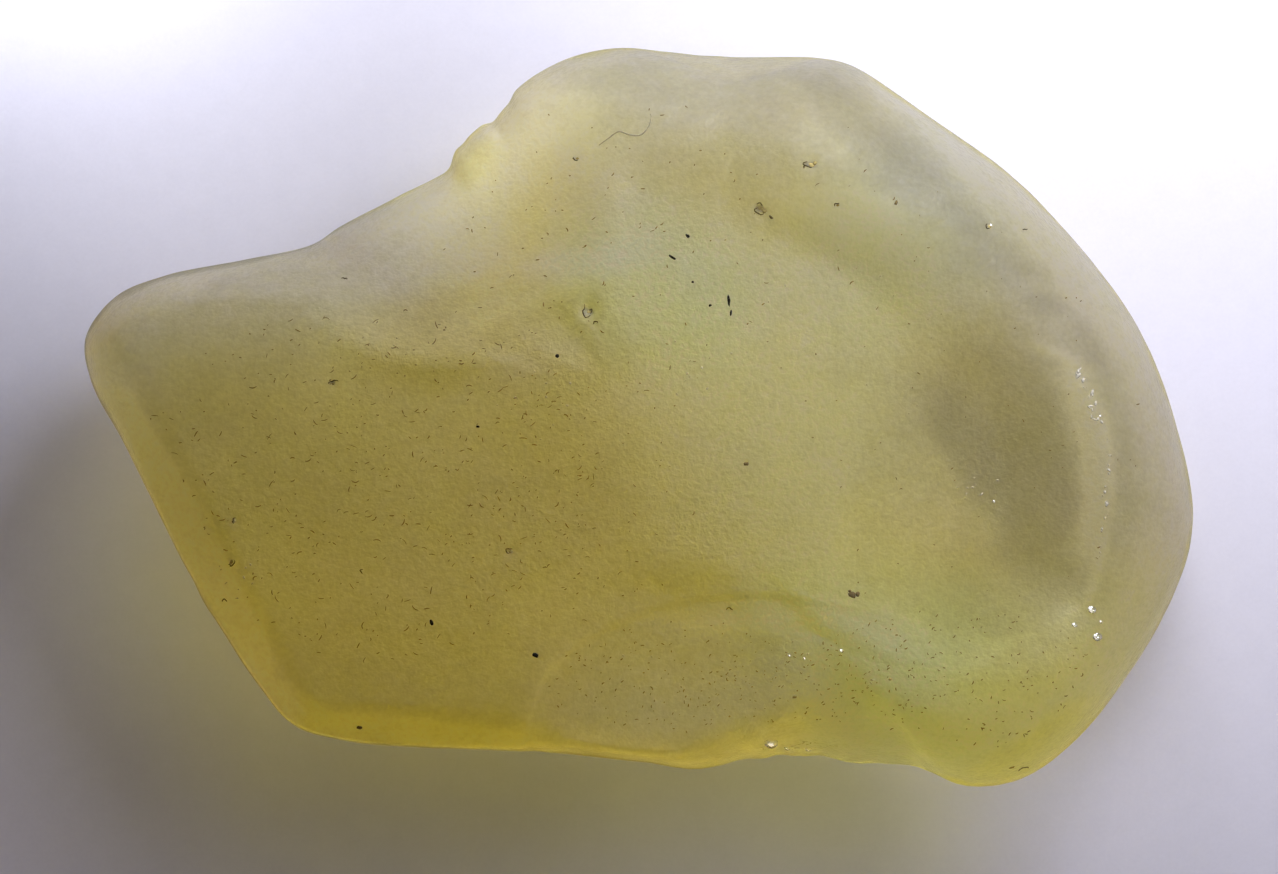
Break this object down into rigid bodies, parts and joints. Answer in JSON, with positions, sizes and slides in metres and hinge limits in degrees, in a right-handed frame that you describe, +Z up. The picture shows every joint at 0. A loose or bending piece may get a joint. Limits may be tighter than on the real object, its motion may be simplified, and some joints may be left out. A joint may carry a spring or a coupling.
{
  "type": "libyan desert glass",
  "caption": "Wind-worn piece of yellow natural glass with rounded lobes, shallow scars and a bite-shaped notch, lying on its flat spot",
  "frame": {"origin": "under the middle of the bounding box, on the ground the piece rests on", "axes": "+X along the longest extent, from the narrow tip on the left to the broad rounded end on the right; +Y across it, toward the side with the bite-shaped notch; +Z up, the shortest extent, out of the worn upper face that the picture shows"},
  "size_m": [0.042, 0.028, 0.0118],
  "materials": {
    "desert_glass": "frosted by windblown sand, satin in the worn hollows, glossy only in a few fresh chips"
  },
  "bodies": {
    "root": {"glass": "desert_glass"}
  },
  "joints": []
}
